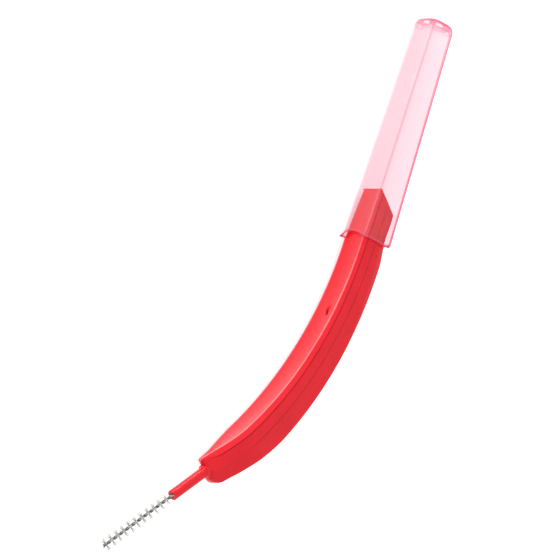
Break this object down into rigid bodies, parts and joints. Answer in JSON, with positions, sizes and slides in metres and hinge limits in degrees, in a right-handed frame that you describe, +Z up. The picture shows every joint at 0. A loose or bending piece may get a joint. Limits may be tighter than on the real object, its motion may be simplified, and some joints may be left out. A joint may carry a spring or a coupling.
{
  "type": "interdental brush",
  "caption": "Interdental brush: curved flat handle with a pointed nose, a thin stem, a twisted wire with a spiral of nylon filaments, and a tapered clear cap pushed on the handle's rear.",
  "frame": {"origin": "middle of the part's bounding box at its underside, where it rests on its flank", "axes": "+X along the cap, from its mouth to its closed end; +Z up, across the handle from flank to flank; +Y towards the handle's hollow inner face"},
  "size_m": [0.0954, 0.0327, 0.0061],
  "materials": {
    "handle": "injection moulded, smooth, slightly translucent red",
    "wire": "drawn steel wire, folded double and twisted",
    "cap": "clear polypropylene, lightly frosted, pink from the handle inside",
    "filaments": "undyed nylon monofilament"
  },
  "bodies": {
    "brush": {"handle": "handle", "wire": "wire", "bundle_01": "filaments", "bundle_02": "filaments", "bundle_03": "filaments", "bundle_04": "filaments", "bundle_05": "filaments", "bundle_06": "filaments", "bundle_07": "filaments", "bundle_08": "filaments", "bundle_09": "filaments", "bundle_10": "filaments", "bundle_11": "filaments", "bundle_12": "filaments", "bundle_13": "filaments", "bundle_14": "filaments", "bundle_15": "filaments", "bundle_16": "filaments", "bundle_17": "filaments", "bundle_18": "filaments", "bundle_19": "filaments", "bundle_20": "filaments", "bundle_21": "filaments", "bundle_22": "filaments"},
    "cap": {"cap": "cap"}
  },
  "joints": [
    {"name": "cap_slide", "type": "slide", "parent": "brush", "child": "cap", "axis": [1, 0, 0], "range_m": [0, 0.02]}
  ]
}
